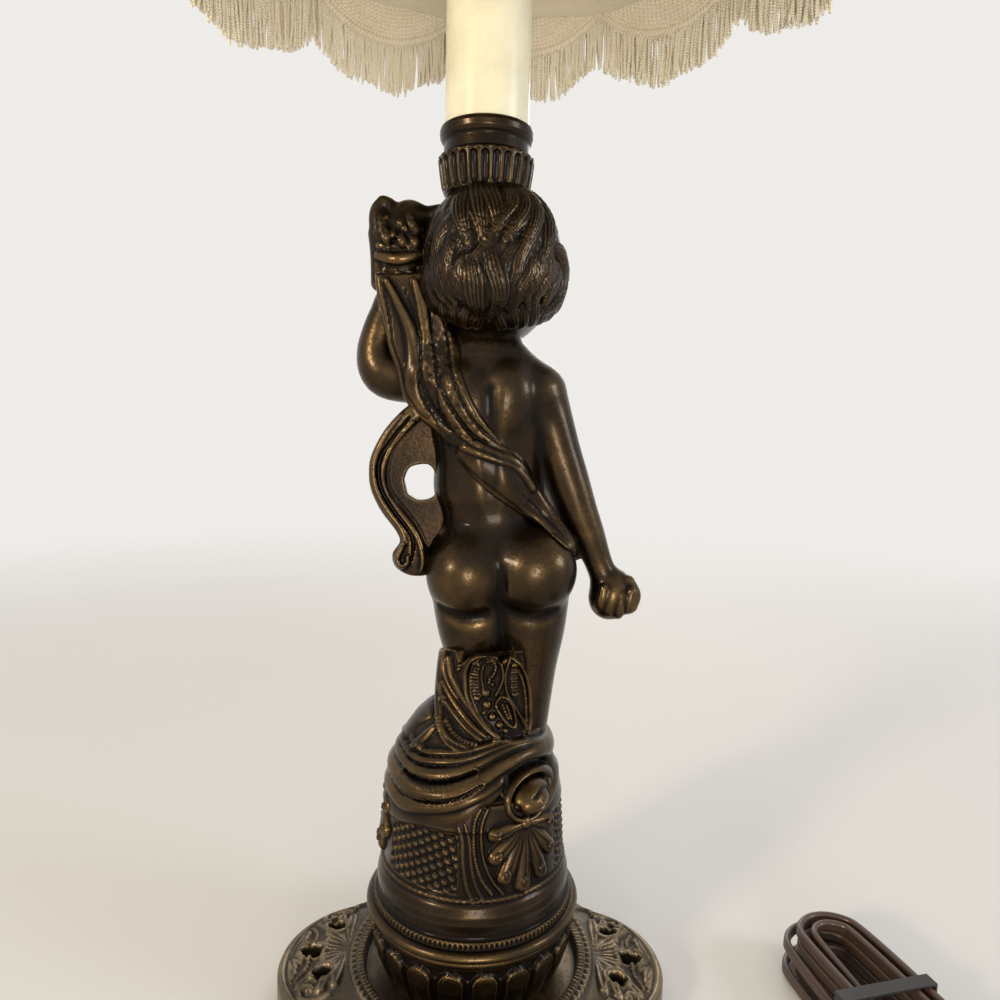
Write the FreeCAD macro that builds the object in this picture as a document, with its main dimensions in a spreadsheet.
import FreeCAD, Part
import math
import os
import re
import Sketcher
from FreeCAD import Placement, Rotation, Vector

# A figural table lamp, modelled as it comes apart on a bench.
# Origin: centre of the foot on the table. +Z up, -Y is the side of the figure's back.
# Millimetres throughout.

SIZES = {
    # foot casting
    "hub_radius": 66.0,
    "lobe_offset": 47.0,
    "lobe_radius": 37.0,
    "foot_wall": 3.0,
    "foot_edge": 10.0,
    "foot_crown": 17.0,
    "foot_rim_width": 4.5,
    "foot_rim_rise": 1.3,
    "foot_floor": 15.0,
    "collar_radius": 52.0,
    "collar_rise": 3.0,
    "pierce_radius": 4.2,
    "pierce_circle": 64.0,
    # gadrooned bowl
    "bowl_height": 30.0,
    "bowl_foot_radius": 35.0,
    "bowl_belly_radius": 42.3,
    "bowl_lip_radius": 43.4,
    "gadroon_count": 20,
    "gadroon_depth": 2.2,
    "bowl_wall": 3.0,
    # plinth drum
    "plinth_height": 58.0,
    "ring_radius": 45.2,
    "ring_height": 5.0,
    "band_radius": 41.6,
    "drum_radius": 39.6,
    "drum_wall": 3.0,
    "neck_radius": 34.0,
    "neck_height": 17.0,
    "drum_floor": 4.0,
    # drape at the top of the plinth
    "drape_height": 22.0,
    "drape_radius": 37.5,
    # figure
    "head_rise": 207.0,
    "head_width": 28.3,
    "head_depth": 29.0,
    "head_half": 31.0,
    "cup_seat": 234.0,
    # lamp pipe and its fasteners
    "pipe_radius": 4.75,
    "pipe_bore": 3.3,
    "pipe_play": 0.35,
    "pipe_end": 6.5,
    "washer_radius": 14.0,
    "washer_thick": 1.5,
    "nut_flats": 14.0,
    "nut_thick": 4.0,
    # candle cup and sleeve
    "cup_height": 26.0,
    "cup_foot_radius": 16.6,
    "cup_belly_radius": 19.4,
    "cup_neck_radius": 17.4,
    "flute_count": 24,
    "flute_depth": 1.1,
    "sleeve_radius": 16.5,
    "sleeve_wall": 1.6,
    "sleeve_height": 92.0,
    "sleeve_seat": 4.0,
    "seat_play": 0.15,
    # harp
    "check_ring_height": 3.0,
    "saddle_thick": 1.6,
    "saddle_half": 24.0,
    "saddle_width": 9.0,
    "saddle_arm": 18.0,
    "harp_wire": 1.9,
    "harp_half": 56.0,
    "harp_height": 203.0,
    "harp_pad_radius": 8.0,
    "ferrule_length": 17.0,
    "ferrule_wall": 0.9,
    "ferrule_play": 0.24,
    "stud_radius": 3.2,
    "stud_height": 14.0,
    # socket
    "cap_height": 20.0,
    "cap_radius": 17.6,
    "shell_height": 37.0,
    "shell_radius": 18.2,
    "shell_wall": 0.6,
    "liner_wall": 0.8,
    "cap_ledge": 8.0,
    "shell_lap": 4.0,
    "spindle_rise": 8.0,
    "spindle_end": 9.4,
    "screw_radius": 13.4,
    "screw_height": 20.0,
    "knob_radius": 5.0,
    "knob_length": 12.0,
    "spindle_radius": 1.6,
    "spindle_play": 0.08,
    # bulb
    "bulb_base_radius": 13.0,
    "bulb_base_height": 24.0,
    "bulb_radius": 30.0,
    "bulb_height": 112.0,
    # finial
    "finial_radius": 8.0,
    "finial_height": 30.0,
    "thread_play": 0.06,
    # shade
    "panel_count": 12,
    "panel_turn": 8.3,
    "shade_low_radius": 158.0,
    "shade_top_radius": 76.0,
    "shade_height": 189.0,
    "shade_drop": 12.0,
    "rib_radius": 1.2,
    "cloth_thick": 1.0,
    "scallop_depth": 18.0,
    "trim_height": 16.0,
    "trim_thick": 1.6,
    "fringe_height": 28.0,
    "fringe_thick": 1.6,
    "spider_play": 0.5,
    # cord
    "cord_radius": 2.5,
    "bushing_radius": 4.2,
    "bushing_flange": 5.0,
    "exit_height": 5.4,
    "lead_radius": 1.4,
    "loop_gap": 0.8,
    "loops_per_layer": 2,
    "loop_layers": 4,
    "loop_radius": 10.0,
    "loop_run": 66.0,
    "tie_width": 6.0,
    "tie_thick": 0.9,
    "plug_width": 22.0,
    "plug_thick": 11.0,
    "plug_length": 24.0,
    "blade_length": 16.0,
}

# Heights above the table and shared radii, as formulas on the sizes.
LEVELS = {
    "bowl_z": "foot_floor",
    "plinth_z": "bowl_z + bowl_height",
    "figure_z": "plinth_z + plinth_height",
    "head_z": "figure_z + head_rise",
    "cup_z": "figure_z + cup_seat",
    "sleeve_z": "cup_z + cup_height - sleeve_seat",
    "check_z": "sleeve_z + sleeve_height",
    "saddle_z": "check_z + check_ring_height",
    "cap_z": "saddle_z + saddle_thick",
    "shell_z": "cap_z + cap_height",
    "bulb_z": "shell_z + shell_height - screw_height + 1",
    "harp_foot_z": "saddle_z + saddle_arm",
    "harp_top_z": "saddle_z + harp_height",
    "hub_z": "harp_top_z + harp_wire",
    "finial_z": "hub_z + 2 * rib_radius",
    "shade_top_z": "hub_z + shade_drop",
    "shade_low_z": "shade_top_z - shade_height",
    "pipe_hole": "pipe_radius + pipe_play",
    "pipe_top_z": "cap_z + cap_height / 3",
    "foot_tip": "lobe_offset + lobe_radius",
}

WORDS = re.compile(r"[A-Za-z_][A-Za-z_0-9]*")
doc = FreeCAD.newDocument("figural_lamp")
sheet = doc.addObject("Spreadsheet::Sheet", "Sizes")
parts = []


def fill_sheet():
    """Write every size into the sheet, with its name beside it."""
    for row, (alias, number) in enumerate(SIZES.items(), 1):
        sheet.set(f"A{row}", alias.replace("_", " "))
        sheet.set(f"B{row}", str(number))
        sheet.setAlias(f"B{row}", alias)
    doc.recompute()


def bound(formula):
    """A formula on size names as an expression on the sheet's cells."""
    def swap(match):
        word = match.group(0)
        if word in SIZES:
            return "Sizes." + word
        if word in LEVELS:
            return "(" + bound(LEVELS[word]) + ")"
        return word
    return WORDS.sub(swap, formula)


def num(formula):
    """The present value of a formula on size names."""
    return float(sheet.evalExpression(bound(str(formula))))


def keep(item, label):
    """Name a finished sub-part and put it on the list that is written out."""
    item.Label = label
    parts.append(item)
    return item


def lift(item, formula):
    """Set the height of an object from a formula."""
    item.setExpression("Placement.Base.z", bound(formula))


# ---------------------------------------------------------------- sketches

def origin_plane(body, role):
    """One of a body's own origin planes or axes."""
    for feature in body.Origin.OriginFeatures:
        if feature.Role == role:
            return feature
    raise ValueError(role)


def outline_edge(start, end, step):
    """A line, or an arc when the step also gives a radius and a turning side."""
    if len(step) == 2:
        return Part.LineSegment(start, end), 1, 2
    radius = num(step[2])
    side = step[3]
    half = (end - start) * 0.5
    left = Vector(-half.y, half.x, 0).normalize()
    rise = math.sqrt(max(radius ** 2 - half.Length ** 2, 0.0))
    centre = start + half + left * rise * side
    first, last = (start, end) if side > 0 else (end, start)
    angles = [math.atan2(p.y - centre.y, p.x - centre.x) for p in (first, last)]
    circle = Part.Circle(centre, Vector(0, 0, 1), radius)
    arc = Part.ArcOfCircle(circle, angles[0], angles[1])
    return (arc, 1, 2) if side > 0 else (arc, 2, 1)


def sketch_on(body, role, name, steps):
    """A closed outline on an origin plane; each step is (x, y) or (x, y, radius, side)."""
    sketch = body.newObject("Sketcher::SketchObject", name)
    sketch.AttachmentSupport = [(origin_plane(body, role), "")]
    sketch.MapMode = "FlatFace"
    corners = [Vector(num(step[0]), num(step[1]), 0) for step in steps]
    ends = []
    for index, step in enumerate(steps):
        edge, tail, head = outline_edge(corners[index - 1], corners[index], step)
        ends.append((sketch.addGeometry(edge, False), tail, head))
    rules = []
    bindings = []
    for index, (edge, tail, head) in enumerate(ends):
        before, _, before_head = ends[index - 1]
        rules.append(Sketcher.Constraint("Coincident", edge, tail, before, before_head))
        for kind, formula in (("DistanceX", steps[index][0]), ("DistanceY", steps[index][1])):
            bindings.append((len(rules), formula))
            rules.append(Sketcher.Constraint(kind, -1, 1, edge, head, num(formula)))
        if len(steps[index]) == 4:
            bindings.append((len(rules), steps[index][2]))
            rules.append(Sketcher.Constraint("Radius", edge, num(steps[index][2])))
    sketch.addConstraint(rules)
    for place, formula in bindings:
        sketch.setExpression(f"Constraints[{place}]", bound(str(formula)))
    return sketch


def turned_body(name, steps):
    """A body turned about the Z axis from an outline in the XZ plane."""
    body = doc.addObject("PartDesign::Body", name)
    sketch = sketch_on(body, "XZ_Plane", name + "_outline", steps)
    turn = body.newObject("PartDesign::Revolution", name + "_turn")
    turn.Profile = sketch
    turn.ReferenceAxis = (sketch, ["V_Axis"])
    turn.Angle = 360
    sketch.Visibility = False
    return body


def turned(label, steps, height):
    """A turned sub-part lifted to its height."""
    body = turned_body(label, steps)
    lift(body, height)
    return keep(body, label)


def shaped(label, shape):
    """A sub-part whose shape is built from the sheet's values."""
    item = doc.addObject("Part::Feature", label)
    item.Shape = shape
    return keep(item, label)


# ------------------------------------------------------------ shape helpers

def cylinder(radius, height, base, along=Vector(0, 0, 1)):
    """A plain cylinder."""
    return Part.makeCylinder(radius, height, base, along)


def middle(ring):
    """The mean of a ring's points."""
    return sum(ring, Vector()) * (1.0 / len(ring))


def skin(rings, closed=False, tips=(None, None)):
    """A solid of flat facets stretched over rings of equally many points.

    The last ring joins the first when closed; otherwise each end is closed by a fan
    about its tip, or about the middle of its ring.
    """
    count = len(rings[0])
    points = [point for ring in rings for point in ring]
    pairs = list(zip(range(len(rings)), range(1, len(rings))))
    if closed:
        pairs.append((len(rings) - 1, 0))
    facets = []
    for low, high in pairs:
        for index in range(count):
            after = (index + 1) % count
            near, near_after = low * count + index, low * count + after
            far, far_after = high * count + index, high * count + after
            facets += [(near, near_after, far_after), (near, far_after, far)]
    if not closed:
        for ring, tip, row in ((rings[0], tips[0], 0), (rings[-1], tips[1], len(rings) - 1)):
            points.append(tip or middle(ring))
            for index in range(count):
                edge = (row * count + index, row * count + (index + 1) % count)
                facets.append((edge[1], edge[0], len(points) - 1) if row == 0
                              else (edge[0], edge[1], len(points) - 1))
    shape = Part.Shape()
    shape.makeShapeFromMesh((points, facets), 0.001)
    solid = Part.Solid(shape.Shells[0])
    if solid.Volume < 0:
        solid.reverse()
    return solid.removeSplitter()


def oval(centre, half_width, half_depth, sides=20):
    """A level many-sided oval."""
    turns = [math.tau * index / sides for index in range(sides)]
    return [centre + Vector(half_width * math.cos(turn), half_depth * math.sin(turn), 0) for turn in turns]


def ring_across(centre, first, second, sides, shift=0.5):
    """A many-sided ring about a centre, spanned by two arms; a shift of 0 puts a corner on the first."""
    turns = [math.tau * (index + shift) / sides for index in range(sides)]
    return [centre + first * math.cos(turn) + second * math.sin(turn) for turn in turns]


def round_ring(centre, along, radius, sides, flat=1.0):
    """A many-sided ring standing across a direction, flattened front to back by a share."""
    along = Vector(along).normalize()
    side = Vector(0, 1, 0) if abs(along.y) < 0.9 else Vector(1, 0, 0)
    first = along.cross(side).normalize()
    return ring_across(centre, first * radius, along.cross(first) * radius * flat, sides)


def limb(stations, sides=10, flat=1.0):
    """A tapering limb; each station is (point, radius)."""
    points = [Vector(*point) for point, _ in stations]
    rings = []
    for index, (_, radius) in enumerate(stations):
        along = points[min(index + 1, len(points) - 1)] - points[max(index - 1, 0)]
        rings.append(round_ring(points[index], along, radius, sides, flat))
    return skin(rings)


def ball(centre, half_sizes, sides=14, rows=5, lean=0.0):
    """A faceted egg with three half sizes, leaned about the Y axis in degrees."""
    rings = []
    for row in range(1, rows + 1):
        rise = -math.pi / 2 + math.pi * row / (rows + 1)
        rings.append(oval(Vector(0, 0, half_sizes[2] * math.sin(rise)),
                          half_sizes[0] * math.cos(rise), half_sizes[1] * math.cos(rise), sides))
    shape = skin(rings, tips=(Vector(0, 0, -half_sizes[2]), Vector(0, 0, half_sizes[2])))
    shape.Placement = Placement(centre, Rotation(Vector(0, 1, 0), lean))
    return shape


def prism_solid(radius, height, base, sides):
    """An upright many-sided disc."""
    return skin([oval(Vector(0, 0, level), radius, radius, sides) for level in (base, base + height)])


def scallops(count, steps, outer, inner, height):
    """A level ring of bulges: each rises from the inner circle to the outer and back."""
    ring = []
    for index in range(count * steps):
        share = (index % steps) / steps
        radius = inner + (outer - inner) * math.sin(math.pi * share)
        turn = math.tau * index / (count * steps)
        ring.append(Vector(radius * math.cos(turn), radius * math.sin(turn), height))
    return ring


def lathe(profile, sides):
    """A faceted turned solid with an open bore; the profile is a closed list of (radius, height)."""
    return skin([oval(Vector(0, 0, height), radius, radius, sides) for radius, height in profile],
                closed=True)


def bent_path(points):
    """Straight runs joined by tangent arcs as large as the runs allow."""
    route = [Vector(*point) for point in points]
    edges = []
    radii = []
    cursor = route[0]
    for before, corner, after in zip(route, route[1:], route[2:]):
        inward = (corner - before).normalize()
        outward = (after - corner).normalize()
        turn = inward.getAngle(outward)
        run = min((corner - before).Length, (after - corner).Length)
        reach = 0.45 * run
        radii.append(reach / math.tan(turn / 2))
        start = corner - inward * reach
        end = corner + outward * reach
        bisector = (outward - inward).normalize()
        depth = radii[-1] / math.cos(turn / 2) - radii[-1]
        edges.append(Part.LineSegment(cursor, start).toShape())
        edges.append(Part.Arc(start, corner + bisector * depth, end).toShape())
        cursor = end
    edges.append(Part.LineSegment(cursor, route[-1]).toShape())
    return Part.Wire(edges), radii


def cut(name, base, tool):
    """One solid with another taken out of it."""
    item = doc.addObject("Part::Cut", name)
    item.Base = base
    item.Tool = tool
    return item


def fuse(name, pieces):
    """Several solids joined into one."""
    item = doc.addObject("Part::MultiFuse", name)
    item.Shapes = pieces
    return item


def prism(name, radius, height, sides=32, base="0"):
    """An upright many-sided bar whose flats lie on the radius."""
    item = doc.addObject("Part::Prism", name)
    item.Polygon = sides
    item.setExpression("Circumradius", bound(f"({radius}) / cos({180 / sides} deg)"))
    item.setExpression("Height", bound(height))
    lift(item, base)
    return item


def sleeve(label, outer, inner, height, base, sides=32, way=None):
    """A plain tube between two radii, its bore running past both ends, and a cross way if given."""
    tool = prism(label + "_bore", inner, f"{height} + 2", sides, f"{base} - 1")
    if way:
        tool = fuse(label + "_tools", [tool, way])
    return keep(cut(label, prism(label + "_bar", outer, height, sides, base), tool), label)


def tube(edges, radius, sides=8, step=20.0):
    """A round tube along lines and arcs, many-sided, with rings every few degrees of bend."""
    points = []
    for edge in edges:
        arc = hasattr(edge.Curve, "Radius")
        pieces = max(1, round(math.degrees(edge.Length / edge.Curve.Radius) / step)) if arc else 1
        samples = edge.discretize(pieces + 1)
        if points and (samples[0] - points[-1]).Length > (samples[-1] - points[-1]).Length:
            samples.reverse()
        points += samples if not points else samples[1:]
    rings = []
    for index, point in enumerate(points):
        before = points[max(index - 1, 0)]
        after = points[min(index + 1, len(points) - 1)]
        inward = (point - before).normalize() if index else (after - point).normalize()
        outward = (after - point).normalize() if index < len(points) - 1 else inward
        rings.append(upright_ring(point, inward + outward, radius, sides))
    return skin(rings), points


def upright_ring(centre, along, radius, sides):
    """A many-sided ring across a mostly level direction, with its flats level."""
    along = Vector(along).normalize()
    level = Vector(0, 0, 1).cross(along)
    level = level.normalize() if level.Length > 0.2 else Vector(1, 0, 0)
    wide = radius / math.cos(math.pi / sides)
    return ring_across(centre, level * wide, along.cross(level) * wide, sides)


def closed_wire(points):
    """A closed wire of straight edges."""
    return Part.makePolygon(points + points[:1])


def cut_by(shape, labels):
    """A shape with earlier sub-parts taken out of it, its largest solid kept."""
    tools = [item.Shape for item in parts if item.Label in labels]
    solid = shape.cut(tools[0].multiFuse(tools[1:]) if len(tools) > 1 else tools[0])
    return max(solid.Solids, key=lambda piece: piece.Volume)


# ------------------------------------------------------------------ castings

def foot_reach(turn, trim):
    """How far the four-lobed plan reaches in a direction, drawn in by a trim."""
    lobe = num("lobe_radius") - trim
    swing = (turn + math.pi / 4) % (math.pi / 2) - math.pi / 4
    across = num("lobe_offset") * math.sin(swing)
    inside = lobe ** 2 - across ** 2
    reach = num("lobe_offset") * math.cos(swing) + math.sqrt(inside) if inside > 0 else 0.0
    return max(reach, num("hub_radius") - trim)


def make_foot():
    """Hollow four-lobed foot: rimmed edge, collar round the bowl, pierced lobes."""
    sides = 56
    turns = [math.tau * index / sides for index in range(sides)]
    wall, edge, crown = num("foot_wall"), num("foot_edge"), num("foot_crown")
    floor, collar, rise = num("foot_floor"), num("collar_radius"), num("collar_rise")
    rim, rim_rise = num("foot_rim_width"), num("foot_rim_rise")

    def round_at(radius, height):
        return [Vector(radius * math.cos(turn), radius * math.sin(turn), height) for turn in turns]

    def plan_at(trim, height):
        return [Vector(foot_reach(turn, trim) * math.cos(turn),
                       foot_reach(turn, trim) * math.sin(turn), height) for turn in turns]

    pipe = num("pipe_hole")
    rings = [
        round_at(pipe, floor), round_at(collar - 6, floor), round_at(collar - 4.5, crown + rise),
        round_at(collar, crown + rise), round_at(collar + 1.5, crown),
        plan_at(rim + 1, edge + 0.6), plan_at(rim, edge + rim_rise), plan_at(1, edge + rim_rise),
        plan_at(0, edge), plan_at(0, 0), plan_at(wall, 0), plan_at(wall, edge - wall),
        plan_at(rim + wall, edge + 0.6 - wall),
        round_at(collar + 1.5, crown - wall), round_at(collar - 4, floor - wall),
        round_at(pipe, floor - wall),
    ]
    shell = skin(rings, closed=True)
    holes = []
    for quarter in range(4):
        for reach, swing, share in ((6, 0, 1.0), (0, 13, 0.8), (0, -13, 0.8)):
            turn = math.radians(90 * quarter + swing)
            place = num("pierce_circle") + reach
            centre = Vector(place * math.cos(turn), place * math.sin(turn), 0)
            along = Vector(math.cos(turn), math.sin(turn), 0)
            across = Vector(-along.y, along.x, 0)
            size = num("pierce_radius") * share
            drop = [centre + along * (size * out) + across * (size * aside)
                    for out, aside in ((1.5, 0), (0.3, 1), (-1, 0.7), (-1, -0.7), (0.3, -1))]
            holes.append(Part.Face(closed_wire(drop)).extrude(Vector(0, 0, crown + 10)))
    exit_hole = cylinder(num("bushing_radius"), 14, Vector(0, -(num("foot_tip") - 10), num("exit_height")),
                         Vector(0, -1, 0))
    shaped("foot_casting", shell.cut(holes[0].multiFuse(holes[1:] + [exit_hole])))


def make_bowl():
    """Gadrooned bowl: tongues that swell at the belly, hollow inside, flanged floor."""
    count = int(num("gadroon_count"))
    height, depth, wall = num("bowl_height"), num("gadroon_depth"), num("bowl_wall")
    foot, belly, lip = num("bowl_foot_radius"), num("bowl_belly_radius"), num("bowl_lip_radius")
    steps = 3
    rings = [scallops(count, steps, radius, radius - depth * sunk, share * height)
             for share, radius, sunk in ((0.0, foot, 0.2), (0.3, belly - 3.4, 0.9), (0.72, belly, 1.0),
                                         (0.84, belly + 0.3, 0.1), (0.9, lip, 0.0), (1.0, lip, 0.0))]
    for radius, level in ((lip - depth - wall, height), (foot - wall - 1, wall), (num("pipe_hole"), wall),
                          (num("pipe_hole"), 0.0)):
        rings.append(scallops(count, steps, radius, radius, level))
    lift(shaped("gadroon_bowl", skin(rings, closed=True)), "bowl_z")


def make_plinth():
    """Plinth drum: round ring, reeded band, cove and drum with a floor for the pipe."""
    turned("plinth_drum", [
        ("pipe_hole", "plinth_height - drum_floor"),
        ("neck_radius - drum_wall", "plinth_height - drum_floor"),
        ("neck_radius - drum_wall", "plinth_height - neck_height - drum_wall"),
        ("drum_radius - drum_wall", "plinth_height - neck_height - drum_wall"),
        ("drum_radius - drum_wall", "0"),
        ("bowl_lip_radius", "0"),
        ("ring_radius", "ring_height * 0.35"),
        ("ring_radius", "ring_height * 0.65"),
        ("band_radius + 1", "ring_height"),
        ("band_radius + 1", "ring_height + 2.6"),
        ("drum_radius", "ring_height + 16"),
        ("drum_radius", "plinth_height - neck_height"),
        ("neck_radius", "plinth_height - neck_height"),
        ("neck_radius", "plinth_height"),
        ("pipe_hole", "plinth_height"),
    ], "plinth_z")


def make_drape():
    """Drape wound round the top of the plinth: folds that climb as they go round."""
    sides = 48
    reach, height = num("drape_radius"), num("drape_height")
    # share of the height, radius beside the reach, fold depth
    rows = [(-0.62, 0.4, 0.5), (-0.30, 1.4, 1.2), (-0.05, 0.2, 0.8), (0.22, 0.4, 1.6),
            (0.45, -3.0, 1.0), (0.66, -3.8, 1.8), (1.0, -9.5, 1.0)]
    rings = []
    for share, grow, fold in rows:
        ring = []
        for index in range(sides):
            turn = math.tau * index / sides
            radius = reach + grow + fold * math.sin(3 * turn + 9 * share)
            ring.append(Vector(radius * math.cos(turn) + 1.5 * share, radius * math.sin(turn),
                               height * share + 3.0 * math.cos(turn) * (share > -0.5)))
        rings.append(ring)
    neck = num("neck_radius") + 0.2
    for radius, level in ((24.0, height - 2), (24.0, 0.0), (neck, 0.0), (neck, height * -0.62)):
        rings.append(oval(Vector(0, 0, level), radius, radius, sides))
    lift(shaped("drape_swirl", skin(rings, closed=True)), "figure_z")


# ------------------------------------------------------------------- figure

# Sections of the trunk: rise above the plinth, middle x and y, half width, half depth.
SECTIONS = [
    (0.0, 2.0, 0.0, 20.5, 19.5),
    (21.0, 2.8, 0.0, 20.6, 19.8),
    (26.0, 5.0, 0.0, 23.5, 20.0),
    (46.0, 7.0, 0.0, 24.0, 20.5),
    (62.0, 7.5, -1.0, 25.5, 22.0),
    (72.0, 7.5, -1.0, 29.0, 23.0),
    (83.0, 7.5, -1.0, 31.0, 23.5),
    (92.0, 6.5, 0.0, 29.5, 22.5),
    (105.0, 3.5, 1.5, 25.0, 20.5),
    (122.0, 0.5, 2.0, 22.5, 18.5),
    (143.0, 0.5, 1.0, 24.5, 19.5),
    (158.0, 0.0, 0.0, 30.0, 17.5),
    (169.0, 0.5, 0.0, 23.0, 14.0),
    (179.0, 1.5, 1.0, 12.5, 11.5),
    (194.0, 2.0, 2.0, 12.0, 11.5),
]
# Soft swellings (+) and furrows (-): x, rise, side (+1 front), height, spread across, spread up.
SWELLINGS = [
    (-7.5, 80.0, -1, 7.0, 9.0, 12.0),
    (21.5, 80.0, -1, 7.0, 9.0, 12.0),
    (7.0, 84.0, -1, -3.0, 3.0, 14.0),
    (4.0, 108.0, 1, 6.0, 12.0, 16.0),
    (8.0, 40.0, -1, -2.0, 3.0, 20.0),
    (-12.0, 150.0, -1, 2.0, 7.0, 9.0),
    (13.0, 150.0, -1, 2.0, 7.0, 9.0),
    (1.0, 140.0, -1, -2.0, 4.0, 24.0),
]


def swell(x, rise, side):
    """How far the swellings push the trunk out at a place on one side."""
    return sum(amount * math.exp(-((x - place) / across) ** 2 - ((rise - level) / up) ** 2)
               for place, level, facing, amount, across, up in SWELLINGS if facing == side)


def make_figure():
    """Body, legs and head as one hollow-bored casting, with a flat seat for the cup."""
    base = num("figure_z")
    rings = []
    for rise, x, y, wide, deep in SECTIONS:
        ring = oval(Vector(x, y, base + rise), wide, deep, 24)
        for point in ring:
            side = 1 if point.y > y else -1
            point.y += side * swell(point.x, rise, side) * abs(point.y - y) / deep
        rings.append(ring)
    trunk = skin(rings)
    sides = 36
    wide, deep, tall = num("head_width"), num("head_depth"), num("head_half")
    locks = []
    for row in range(1, 8):
        slope = -math.pi / 2 + math.pi * row / 8
        ring = oval(Vector(2.7, 2, num("head_z") + tall * math.sin(slope)),
                    wide * math.cos(slope), deep * math.cos(slope), sides)
        for index, point in enumerate(ring):
            turn = math.tau * index / sides
            hair = math.sin(turn) < 0.55 or slope > 0.7
            groove = (1.0 if hair else 0.15) * (1 if (index + row) % 3 else -1.4)
            point += Vector(math.cos(turn), math.sin(turn), 0) * groove
        locks.append(ring)
    top = Vector(2.7, 2, num("head_z") + tall)
    head = skin(locks, tips=(Vector(2.7, 2, num("head_z") - tall), top))
    nose = ball(Vector(2.7, 2 + deep, num("head_z") - 6), (3.2, 3.5, 4.5), 8, 3)
    solid = trunk.multiFuse([head, nose])
    seat = cylinder(60, 60, Vector(0, 0, num("cup_z")))
    bore = cylinder(num("pipe_hole"), num("cup_seat") + 2, Vector(0, 0, base - 1))
    shaped("figure_body", solid.cut(seat).cut(bore))


def make_arms():
    """The hanging right arm and the raised left arm, each cast apart."""
    base = num("figure_z")
    right = limb([((18, 0, base + 161), 7), ((27, 0, base + 157), 10.5), ((32, -1, base + 138), 8.8),
                  ((38, -1, base + 121), 7.6), ((44, 1, base + 108), 6.6), ((48.5, 3, base + 96), 5.6),
                  ((52, 4, base + 89), 7.5), ((57, 5, base + 79), 10.0), ((60, 6, base + 70), 7.5),
                  ((61, 6, base + 66), 4.0)])
    left = limb([((-16, 2, base + 159), 8), ((-27, 3, base + 157), 10.5), ((-40, 4, base + 164), 10.0),
                 ((-44, 5, base + 178), 8.5), ((-38, 5, base + 192), 6.2), ((-34, 5, base + 200), 7.5),
                 ((-31, 5, base + 208), 5.0)])
    shaped("right_arm", cut_by(right, ["figure_body"]))
    shaped("left_arm", cut_by(left, ["figure_body"]))


# Route of the sash over the back, round the right hip and across the front.
SASH = [(-33, -9, 196), (-27, -18, 172), (-10, -22, 148), (10, -21, 124), (30, -20, 103),
        (40, -6, 93), (37, 12, 88), (20, 26, 83), (-4, 27, 77), (-18, 18, 72)]
RIBBON = [(-29, 156), (-41, 146), (-44, 128), (-41, 110), (-32, 100), (-34, 90), (-25, 86)]
POSY = [(-41, 2, 202, 8), (-30, 3, 204, 8), (-39, 4, 214, 9), (-28, 1, 216, 8), (-40, 2, 226, 6)]


def make_sash():
    """The sash as rolled folds that run side by side over the back and round the hip."""
    base = num("figure_z")
    folds = []
    for shift, radius in ((0.0, 5.2), (8.0, 4.4), (-8.0, 4.2)):
        stations = []
        for index, (x, y, rise) in enumerate(SASH):
            spread = shift * (0.6 if index in (0, 5) else 1.0)
            stations.append(((x - 0.35 * spread, y, base + rise - 0.8 * spread), radius))
        folds.append(limb(stations, 8))
    cloth = folds[0].multiFuse(folds[1:])
    shaped("sash_drapery", cut_by(cloth, ["figure_body", "left_arm", "right_arm"]))


def make_ribbon():
    """Flat ribbon that leaves the sash, loops clear of the waist and curls at its end."""
    base = num("figure_z")
    path, _ = bent_path([(x, -6, base + rise) for x, rise in RIBBON])
    points = []
    for edge in path.Edges:
        points += edge.discretize(4)[0 if not points else 1:]
    rings = []
    for index, point in enumerate(points):
        along = (points[min(index + 1, len(points) - 1)] - points[max(index - 1, 0)]).normalize()
        wide = along.cross(Vector(0, 1, 0)) * 4.0
        deep = Vector(0, 1.3, 0)
        rings.append([point + wide + deep, point - wide + deep, point - wide - deep, point + wide - deep])
    shaped("ribbon_loop", cut_by(skin(rings), ["figure_body", "left_arm", "sash_drapery"]))


def bud(centre, radius, turn):
    """A five-petalled bud: a cup of petals on a short calyx."""
    rings = [scallops(5, 3, radius * share, radius * share * 0.7, rise * radius)
             for rise, share in ((-0.8, 0.35), (0.0, 1.0), (0.75, 0.5))]
    shape = skin(rings)
    shape.Placement = Placement(centre, Rotation(Vector(1, 0.4, 0.2), turn))
    return shape


def make_posy():
    """Bunch of buds held beside the head."""
    base = num("figure_z")
    buds = [bud(Vector(x, y, base + rise), radius, 50 + 37 * index)
            for index, (x, y, rise, radius) in enumerate(POSY)]
    bunch = buds[0].multiFuse(buds[1:])
    shaped("posy", cut_by(bunch, ["figure_body", "left_arm", "sash_drapery"]))


# ------------------------------------------------------- pipe and fasteners

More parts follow.
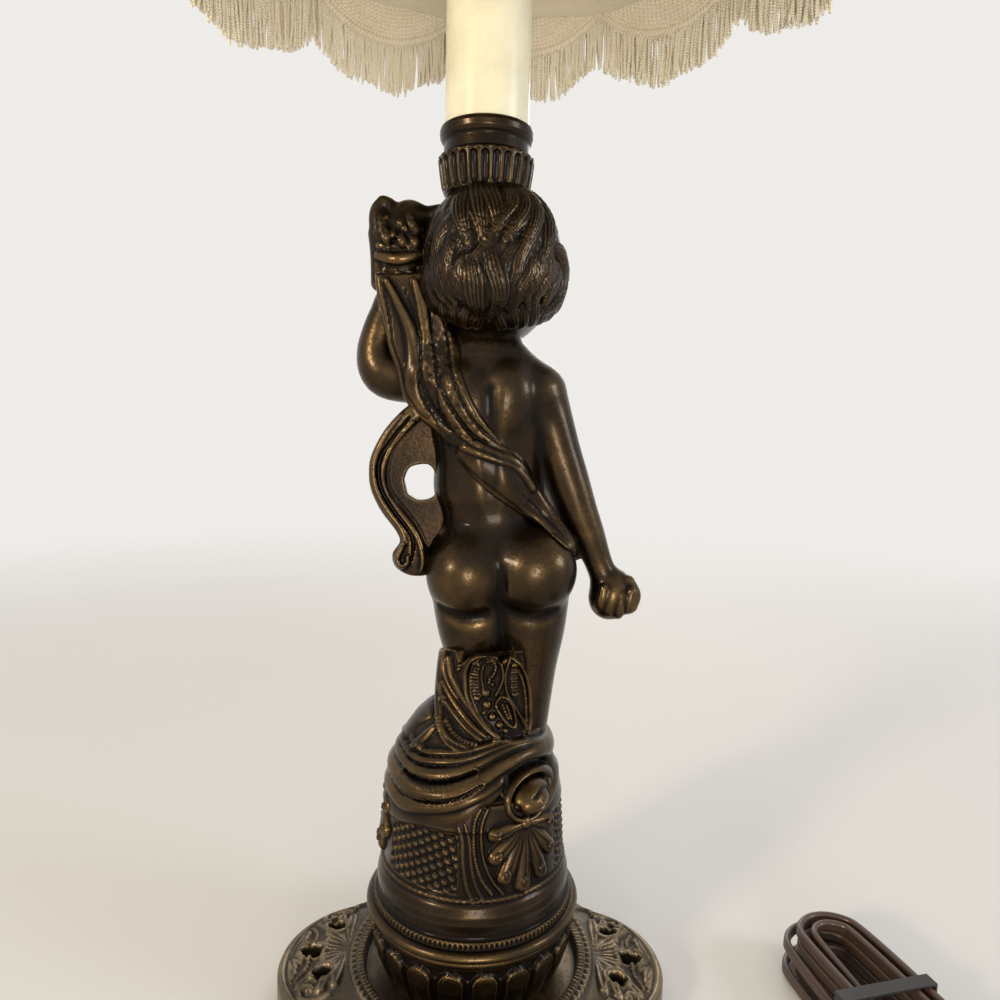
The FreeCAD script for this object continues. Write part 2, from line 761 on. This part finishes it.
def make_pipe():
    """Threaded pipe that ties the castings together, with washer and nut below."""
    turned("lamp_pipe", [
        ("pipe_bore", "pipe_end"),
        ("pipe_radius", "pipe_end"),
        ("pipe_radius", "pipe_top_z"),
        ("pipe_bore", "pipe_top_z"),
    ], "0")
    sleeve("pipe_washer", "washer_radius", "pipe_hole", "washer_thick",
           "foot_floor - foot_wall - washer_thick")
    body = doc.addObject("PartDesign::Body", "pipe_nut")
    corner = "nut_flats / 2 / cos(30 deg)"
    steps = [(f"{corner} * cos({60 * side} deg)", f"{corner} * sin({60 * side} deg)")
             for side in range(6)]
    sketch = sketch_on(body, "XY_Plane", "nut_outline", steps)
    pad = body.newObject("PartDesign::Pad", "nut_pad")
    pad.Profile = sketch
    pad.setExpression("Length", bound("nut_thick"))
    hole = sketch_circle(body, "nut_bore", "pipe_radius")
    bore = body.newObject("PartDesign::Pocket", "nut_pocket")
    bore.Profile = hole
    bore.Type = "ThroughAll"
    bore.Midplane = True
    body.Tip = bore
    lift(body, "foot_floor - foot_wall - washer_thick - nut_thick")
    keep(body, "pipe_nut")


def sketch_circle(body, name, radius, x="0", y="0", role="XY_Plane"):
    """A circle on an origin plane."""
    sketch = body.newObject("Sketcher::SketchObject", name)
    sketch.AttachmentSupport = [(origin_plane(body, role), "")]
    sketch.MapMode = "FlatFace"
    edge = sketch.addGeometry(Part.Circle(Vector(num(x), num(y), 0), Vector(0, 0, 1), num(radius)), False)
    rules = [Sketcher.Constraint("DistanceX", -1, 1, edge, 3, num(x)),
             Sketcher.Constraint("DistanceY", -1, 1, edge, 3, num(y)),
             Sketcher.Constraint("Radius", edge, num(radius))]
    sketch.addConstraint(rules)
    for place, formula in enumerate((x, y, radius)):
        sketch.setExpression(f"Constraints[{place}]", bound(formula))
    return sketch


# -------------------------------------------------------- candle cup, sleeve

def make_candle():
    """Fluted cup with arched flutes under a round rim, and the sleeve that stands in it."""
    count = int(num("flute_count"))
    depth, height = num("flute_depth"), num("cup_height")
    foot, belly, neck = num("cup_foot_radius"), num("cup_belly_radius"), num("cup_neck_radius")
    seat, pipe = num("sleeve_radius") + num("seat_play"), num("pipe_hole")
    steps = 2
    rings = [scallops(count, steps, radius, radius - sunk, level)
             for level, radius, sunk in ((0.0, foot, depth), (0.5 * height, belly, depth),
                                         (0.66 * height, belly - 0.6, 0.1), (0.7 * height, neck, 0.0),
                                         (height - 3.6, neck, 0.0), (height - 2.6, neck + 1.0, 0.0),
                                         (height - 0.8, neck + 1.0, 0.0), (height, neck + 0.2, 0.0))]
    floor = height - num("sleeve_seat")
    rings += [scallops(count, steps, radius, radius, level)
              for radius, level in ((seat, height), (seat, floor), (pipe, floor), (pipe, 0.0))]
    lift(shaped("candle_cup", skin(rings, closed=True)), "cup_z")
    turned("candle_sleeve", [
        ("sleeve_radius - sleeve_wall", "0"),
        ("sleeve_radius", "0"),
        ("sleeve_radius", "sleeve_height"),
        ("sleeve_radius - sleeve_wall", "sleeve_height"),
    ], "sleeve_z")


# --------------------------------------------------------------------- harp

def make_harp():
    """Check ring, saddle with two upright arms, sprung bow with its stud, two ferrules."""
    sleeve("check_ring", "sleeve_radius + 0.8", "pipe_hole", "check_ring_height", "check_z")
    plate = doc.addObject("Part::Box", "saddle_plate")
    plate.setExpression("Length", bound("2 * saddle_half"))
    plate.setExpression("Width", bound("saddle_width"))
    plate.setExpression("Height", bound("saddle_thick"))
    plate.setExpression("Placement.Base.x", bound("-saddle_half"))
    plate.setExpression("Placement.Base.y", bound("-saddle_width / 2"))
    lift(plate, "saddle_z")
    posts = [prism("saddle_eye", "pipe_hole + 4", "saddle_thick", 24, "saddle_z")]
    for side, mark in (("left", -1), ("right", 1)):
        post = prism(f"saddle_post_{side}", "harp_wire", "saddle_arm", 8, "saddle_z")
        post.setExpression("Placement.Base.x", bound(f"{mark} * (saddle_half - harp_wire)"))
        posts.append(post)
    hole = prism("saddle_hole", "pipe_hole", "4 * saddle_thick", 24, "saddle_z - saddle_thick")
    keep(cut("harp_saddle", fuse("saddle_solid", [plate] + posts), hole), "harp_saddle")

    low = num("harp_foot_z")
    top = num("harp_top_z")
    foot = num("saddle_half") - num("harp_wire")
    half = num("harp_half")
    wire_radius = num("harp_wire")
    side = [(foot, 0, low), (foot, 0, low + 40), (half, 0, low + 76), (half, 0, top - 50),
            (half * 0.72, 0, top - 16), (half * 0.28, 0, top)]
    mirror = [(-x, y, z) for x, y, z in reversed(side)]
    path, radii = bent_path(side + mirror)
    bow, _ = tube(path.Edges, wire_radius, 8)
    print("harp bends", [round(value, 1) for value in radii])
    pad = prism_solid(num("harp_pad_radius"), wire_radius, top, 16)
    stud = cylinder(num("stud_radius"), num("stud_height") + wire_radius, Vector(0, 0, top))
    shaped("harp_bow", bow.multiFuse([pad, stud]).removeSplitter())
    for name, mark in (("left", -1), ("right", 1)):
        ferrule = sleeve(f"harp_ferrule_{name}", "harp_wire + ferrule_wall", "harp_wire + ferrule_play",
                         "ferrule_length", "harp_foot_z - ferrule_length / 2", 8)
        for item in (ferrule.Base, ferrule.Tool):
            item.setExpression("Placement.Base.x", bound(f"{mark} * (saddle_half - harp_wire)"))


# ------------------------------------------------------------------- socket

def spindle_way(name, more, start):
    """The way for the switch spindle, from a start beside the axis out through the shell."""
    way = doc.addObject("Part::Cylinder", name)
    way.setExpression("Radius", bound(f"spindle_radius + {more}"))
    way.setExpression("Height", bound("2 * shell_radius"))
    way.Placement.Rotation = Rotation(Vector(1, 0, 0), -90)
    way.setExpression("Placement.Base.y", bound(start))
    way.setExpression("Placement.Base.z", bound("shell_z + spindle_rise"))
    return way


def make_socket():
    """Lamp socket: brass cap and shell, insulating liner, switch block, screw shell, contact."""
    cap, wall, high = num("cap_radius"), num("shell_wall"), num("cap_height")
    pipe, ledge, lap = num("pipe_radius") + 0.02, high - num("cap_ledge"), high - num("shell_lap")
    lift(shaped("socket_cap", lathe([
        (pipe, 0), (8, 0), (9, 3), (cap + wall, ledge - 2), (cap + wall, lap), (cap, lap), (cap, high),
        (cap - wall, high), (cap - wall, ledge), (cap - 4, ledge), (8, 4.5), (pipe, 3)], 24)), "cap_z")
    sleeve("socket_shell", "shell_radius", "shell_radius - shell_wall", "shell_height + shell_lap",
           "shell_z - shell_lap", way=spindle_way("shell_way", "1", "shell_radius / 2"))
    sleeve("socket_liner", "shell_radius - shell_wall - 0.1",
           "shell_radius - shell_wall - liner_wall - 0.1", "shell_height - 2", "shell_z",
           way=spindle_way("liner_way", "1", "shell_radius / 2"))
    seat = "shell_z + shell_height - screw_height - 1"
    block = prism("block_bar", "screw_radius + 1", f"{seat} - shell_z + cap_ledge", 32,
                  "shell_z - cap_ledge")
    keep(cut("switch_block", block, spindle_way("block_way", "spindle_play", "spindle_end - 0.3")),
         "switch_block")
    sleeve("screw_shell", "screw_radius + 0.6", "screw_radius", "screw_height", seat)
    contact = doc.addObject("Part::Box", "contact_leaf")
    contact.Length = 9
    contact.Width = 4
    contact.Height = 0.5
    contact.Placement.Base = Vector(-4.5, -2, 0)
    lift(contact, seat)
    keep(contact, "contact_leaf")


def make_knob():
    """Rotary switch: spindle out of the block and a fluted knob on its end."""
    reach = num("shell_radius") + 4.0
    height = num("shell_z + spindle_rise")
    inner = num("spindle_end")
    spindle = cylinder(num("spindle_radius"), reach + num("knob_length") - 3 - inner,
                       Vector(0, inner, height), Vector(0, 1, 0))
    shaped("switch_spindle", spindle)
    rings = [scallops(10, 2, radius, radius - 0.6, depth)
             for depth, radius in ((0.0, num("knob_radius") - 0.8), (2.0, num("knob_radius")),
                                   (num("knob_length"), num("knob_radius") - 0.4))]
    knob = skin(rings)
    knob.Placement = Placement(Vector(0, reach, height), Rotation(Vector(1, 0, 0), -90))
    shaped("switch_knob", knob.cut(spindle))


# --------------------------------------------------------------------- bulb

def make_bulb():
    """Screw bulb: glass envelope closed over a brass screw base."""
    base, tall = num("bulb_base_radius"), num("bulb_base_height")
    rings = [oval(Vector(0, 0, level), wide, wide, 24)
             for level, wide in ((0.0, 5.0), (2.5, base - 3), (4.0, base), (tall, base))]
    lift(shaped("bulb_base", skin(rings)), "bulb_z")
    radius, high = num("bulb_radius"), num("bulb_height")
    centre = high - radius
    rings = [oval(Vector(0, 0, level), wide, wide, 24)
             for level, wide in ((num("bulb_base_height"), num("bulb_base_radius") + 0.4),
                                 (num("bulb_base_height") + 12, num("bulb_base_radius") + 4))]
    for slope in (-48, -24, 0, 24, 48, 68):
        lean = math.radians(slope)
        rings.append(oval(Vector(0, 0, centre + radius * math.sin(lean)), radius * math.cos(lean),
                          radius * math.cos(lean), 24))
    lift(shaped("bulb_glass", skin(rings, tips=(None, Vector(0, 0, high)))), "bulb_z")


def make_finial():
    """Turned finial that screws on the stud and holds the shade down."""
    wide = num("finial_radius")
    high = num("finial_height")
    bore = num("stud_radius") + num("thread_play")
    deep = num("stud_height") + 1
    profile = [(0.8, 0.0), (0.8, 0.07), (0.5, 0.14), (1.0, 0.38), (1.0, 0.5), (0.45, 0.7),
               (0.55, 0.8), (0.3, 0.95)]
    rings = [oval(Vector(0, 0, high * rise), wide * share, wide * share, 20) for share, rise in profile]
    solid = skin(rings, tips=(None, Vector(0, 0, high)))
    lift(shaped("finial", solid.cut(cylinder(bore, deep, Vector()))), "finial_z")


# -------------------------------------------------------------------- shade

def rib_turn(index):
    """The direction of a rib about the shade's axis, in radians."""
    return math.tau * index / int(num("panel_count")) + math.radians(num("panel_turn"))


def shade_corner(index, share, inset=0.0):
    """A point on a rib; share runs from 0 at the hem to 1 at the top."""
    low = num("shade_low_radius")
    high = num("shade_top_radius")
    radius = low + (high - low) * share - inset
    turn = rib_turn(index)
    height = num("shade_low_z") + num("shade_height") * share
    return Vector(radius * math.cos(turn), radius * math.sin(turn), height)


def rod(start, end, radius):
    """A straight six-sided rod."""
    return skin([round_ring(point, end - start, radius, 6) for point in (start, end)])


def sagging(start, end, sag, pieces=8):
    """Points from start to end along an arch that sags by a vector at its middle."""
    if sag.Length < 0.01:
        return [start, end]
    return [start + (end - start) * (step / pieces) + sag * (1 - (2 * step / pieces - 1) ** 2)
            for step in range(pieces + 1)]


def panel_band(high_share, grow, thick, low_sag):
    """A band of flat panels with an arched lower edge, closed into one thin ring."""
    panels = []
    for index in range(int(num("panel_count"))):
        faces = []
        for depth in (grow, grow + thick):
            corners = [shade_corner(index, 0.0, -depth), shade_corner(index + 1, 0.0, -depth),
                       shade_corner(index + 1, high_share, -depth), shade_corner(index, high_share, -depth)]
            slope = (corners[3] - corners[0] + corners[2] - corners[1]).normalize()
            faces.append(sagging(corners[0], corners[1], slope * -low_sag) + corners[2:])
        panels.append(skin(faces))
    return panels[0].multiFuse(panels[1:]).removeSplitter()


def make_shade():
    """Wire frame with hub and arms, cloth panels, scalloped trim and fringe."""
    count = int(num("panel_count"))
    wire = num("rib_radius")
    slope = math.atan2(num("shade_low_radius - shade_top_radius"), num("shade_height"))
    inset = wire / math.cos(slope)
    corners = [[shade_corner(index, share, inset) for index in range(count)] for share in (0.06, 1.0)]
    rods = []
    hoops = [[], []]
    for index, (low, high) in enumerate(zip(*corners)):
        turn = rib_turn(index)
        out = Vector(math.cos(turn) * math.cos(slope), math.sin(turn) * math.cos(slope), math.sin(slope))
        round_about = Vector(-math.sin(turn), math.cos(turn), 0)
        rods.append(skin([ring_across(end, out * wire, round_about * wire, 6, 0) for end in (low, high)]))
        wide = wire / math.cos(math.pi / 6)
        for hoop, corner in zip(hoops, (low, high)):
            hoop.append(ring_across(corner, out * wide, out.cross(round_about) * wide, 6))
    rods += [skin(hoop, closed=True) for hoop in hoops]
    hub_z = num("hub_z")
    hub = prism_solid(12.0, 2 * wire, hub_z, 24)
    for index in range(0, count, count // 3):
        top = shade_corner(index, 1, inset)
        knee = Vector(top.x * 0.8, top.y * 0.8, hub_z + 1.5 * wire)
        centre = Vector(top.x * 0.12, top.y * 0.12, hub_z + 1.5 * wire)
        rods += [rod(centre, knee, wire), rod(knee, top, wire)]
    hole = cylinder(num("stud_radius") + num("spider_play"), 20, Vector(0, 0, hub_z - 5))
    frame = hub.multiFuse(rods).cut(hole)
    shaped("shade_frame", frame)
    thick = num("cloth_thick")
    trim_share = num("trim_height") / num("shade_height")
    shaped("shade_cover", panel_band(1.0, 0.0, thick, 0.0))
    shaped("shade_trim", panel_band(trim_share, thick, num("trim_thick"), num("scallop_depth")))


def make_fringe():
    """Fringe hanging plumb from the scalloped edge of the trim."""
    thin = num("cloth_thick")
    down = Vector(0, 0, -num("fringe_height"))
    panels = []
    for index in range(int(num("panel_count"))):
        rows = []
        for depth in (thin, thin + num("fringe_thick")):
            low = shade_corner(index, 0.0, -depth)
            far = shade_corner(index + 1, 0.0, -depth)
            rise = shade_corner(index, 1.0, -depth) + shade_corner(index + 1, 1.0, -depth) - low - far
            rows.append(sagging(low, far, rise.normalize() * -num("scallop_depth")))
        inner, outer = rows
        rings = [[near, far, far + down, near + down] for near, far in zip(inner, outer)]
        panels.append(skin(rings))
    shaped("shade_fringe", panels[0].multiFuse(panels[1:]))


# --------------------------------------------------------------------- cord

# Route of the free stretch from the foot to the hank, its last point on the hank's first run.
ROUTE = [(0, -79, 5.4), (0, -107, 4.9), (10, -134, 2.7), (38, -156, 2.6), (82, -162, 2.6),
         (126, -150, 2.6), (158, -121, 2.6), (167.2, -90.7, 3.5), (159.84, -61.54, 3.5)]
# Route of the lead inside the foot and up the pipe; its last point is under the switch block.
LEAD = [(0, -79, 5.4), (0, -50, 3.4), (0, -22, 2.2), (0, -6, 2.2), (0, -1.5, 4.4), (0, 0, 9.0)]
HANK_MIDDLE = (170.0, -25.0)
HANK_TURN = 104.0


def route_tube(label, points, radius, sides):
    """A tube along a hand-chosen route, with its bends and volume printed."""
    path, radii = bent_path(points)
    solid, _ = tube(path.Edges, radius, sides)
    print(label, "bends", [round(value, 1) for value in radii], "length", round(path.Length, 1))
    print(label, "volume share", round(solid.Volume / (math.pi * radius ** 2 * path.Length), 3))
    return shaped(label, solid)


def slope_run(start, end):
    """A straight run that climbs or drops through two equal arcs at its middle."""
    along = Vector(end.x - start.x, 0, 0)
    rise = end.z - start.z
    way = along.normalize()
    length = end.sub(start).x * way.x
    share = 0.8 * length
    turn = 2 * math.atan2(abs(rise), share)
    bend = share / 2 / math.sin(turn)
    up = Vector(0, 0, math.copysign(1, rise))
    first = start + way * (length - share) / 2
    last = end - way * (length - share) / 2
    half = (first + last) * 0.5
    dip = bend * (1 - math.cos(turn / 2))
    near = first + way * bend * math.sin(turn / 2) + up * dip
    far = last - way * bend * math.sin(turn / 2) - up * dip
    return [Part.makeLine(start, first), Part.Arc(first, near, half).toShape(),
            Part.Arc(half, far, last).toShape(), Part.makeLine(last, end)]


def make_hank():
    """The put-away length: loops wound in and out in layers, climbing along a run."""
    loops, layers = int(num("loops_per_layer")), int(num("loop_layers"))
    wire = num("cord_radius")
    pitch = 2 * wire + num("loop_gap")
    half_run = num("loop_run") / 2
    turns = 2 * loops
    radii = [num("loop_radius") + pitch / 2 * index for index in range(turns)]
    order = []
    for layer in range(layers):
        sweep = list(reversed(radii)) if layer % 2 == 0 else list(radii)
        order += [(radius, layer) for radius in sweep]
    order.pop()
    floor = num("tie_thick") + wire + 0.1
    across = radii[-1]
    edges = []
    here = Vector(-half_run, across, floor)
    heading = 1
    for radius, layer in order:
        there = Vector(half_run * heading, here.y, floor + pitch * layer)
        if abs(there.z - here.z) > 0.01:
            edges += slope_run(here, there)
        else:
            edges.append(Part.makeLine(here, there))
        swing = Vector(0, -2 * radius * heading, 0)
        edges.append(Part.Arc(there, there + swing * 0.5 + Vector(radius * heading, 0, 0),
                              there + swing).toShape())
        here = there + swing
        heading = -heading
    corner = Vector(half_run * heading, here.y, here.z)
    edges.append(Part.makeLine(here, corner))
    plug_height = num("plug_thick") / 2
    far = corner + Vector(heading * 60, 0, plug_height - corner.z)
    edges += slope_run(corner, far)
    solid, points = tube(edges, wire, 8, 30.0)
    length = sum(edge.Length for edge in edges)
    print("cord_hank loops", len(order) / 2, "length", round(length, 1))
    print("cord_hank least gap to itself", round(least_gap(points, wire), 2))
    frame = Placement(Vector(HANK_MIDDLE[0], HANK_MIDDLE[1], 0), Rotation(Vector(0, 0, 1), HANK_TURN))
    solid.Placement = frame
    shaped("cord_hank", solid)
    tall = floor + pitch * (layers - 1) + wire
    make_tie(frame, across + wire, floor - wire, tall)
    make_plug(frame, far, heading)


def least_gap(points, radius):
    """The least free space between stretches of a tube that aren't next to each other."""
    fine = []
    for start, end in zip(points, points[1:]):
        pieces = max(1, int((end - start).Length / 4))
        fine += [start + (end - start) * (share / pieces) for share in range(pieces)]
    best = 1e9
    for first in range(0, len(fine), 2):
        for second in range(first + 12, len(fine)):
            best = min(best, (fine[first] - fine[second]).Length)
    return best - 2 * radius


def make_tie(frame, half_width, low, high):
    """A flat tie round the middle of the hank."""
    thick, wide, play = num("tie_thick"), num("tie_width"), 0.1
    outer = Part.makeBox(wide, 2 * (half_width + thick + play), high - low + 2 * thick + play,
                         Vector(-wide / 2, -half_width - thick - play, low - thick))
    inner = Part.makeBox(wide + 2, 2 * (half_width + play), high - low + play,
                         Vector(-wide / 2 - 1, -half_width - play, low))
    band = outer.cut(inner)
    band.Placement = frame
    shaped("cord_tie", band)


def make_plug(frame, face, heading):
    """Two-blade plug that lies on the table at the end of the cord."""
    half_wide, half_thick = num("plug_width") / 2, num("plug_thick") / 2
    length = num("plug_length")
    rings = []
    for share, wide, thick in ((0.0, 0.42, 0.55), (0.2, 0.6, 0.8), (0.6, 1.0, 1.0), (1.0, 0.92, 0.96)):
        x = face.x + heading * length * share
        y, z = half_wide * wide, half_thick * thick
        ring = [Vector(x, y, z * 0.5), Vector(x, y * 0.8, z), Vector(x, -y * 0.8, z), Vector(x, -y, z * 0.5),
                Vector(x, -y, -z * 0.5), Vector(x, -y * 0.8, -z), Vector(x, y * 0.8, -z), Vector(x, y, -z * 0.5)]
        rings.append([point + Vector(0, face.y, face.z) for point in ring])
    body = skin(rings)
    body.Placement = frame
    shaped("plug_body", body)
    reach = num("blade_length")
    start = face.x + heading * length
    blades = []
    for side in (-1, 1):
        corner = Vector(min(start, start + heading * reach), face.y + side * 6.35 - 0.75, face.z - 3.1)
        blades.append(Part.makeBox(reach, 1.5, 6.2, corner))
    pair = Part.makeCompound(blades)
    pair.Placement = frame
    shaped("plug_blades", pair)


def make_cord():
    """Bushing in the foot, lead inside, free stretch to the hank, hank, tie and plug."""
    bore, barrel, flange = num("cord_radius") + 0.5, num("bushing_radius") - 0.05, num("bushing_flange")
    bushing = lathe([(bore, 0), (barrel, 0), (barrel, 5.1), (flange, 5.1), (flange, 6.6), (bore, 6.6)], 24)
    bushing.Placement = Placement(Vector(0, -(num("foot_tip") - 5), num("exit_height")),
                                  Rotation(Vector(1, 0, 0), 90))
    shaped("cord_bushing", bushing)
    route_tube("cord_run", ROUTE, num("cord_radius"), 8)
    top = num("shell_z") - 8
    route_tube("cord_lead", LEAD + [(0, 0, top)], num("lead_radius"), 6)
    make_hank()


def fill():
    """Everything in order."""
    fill_sheet()
    make_foot()
    make_bowl()
    make_plinth()
    make_drape()
    make_figure()
    make_arms()
    make_sash()
    make_ribbon()
    make_posy()
    make_pipe()
    make_candle()
    make_harp()
    make_socket()
    make_knob()
    make_bulb()
    make_finial()
    make_shade()
    make_fringe()
    make_cord()


def write_out():
    """Check every object and write each sub-part to its own file."""
    doc.recompute()
    os.makedirs("parts", exist_ok=True)
    for item in doc.Objects:
        if "Invalid" in item.State or "Error" in item.State:
            raise RuntimeError(f"{item.Label} failed: {item.State}")
    for item in parts:
        if item.Shape.isNull() or not item.Shape.isValid() or not item.Shape.Solids:
            raise RuntimeError(f"{item.Label} has no valid solid")
    for item in parts:
        item.Shape.exportStep(f"parts/{item.Label}.step")
        print(item.Label, len(item.Shape.Solids), round(item.Shape.Volume, 1))


fill()
write_out()
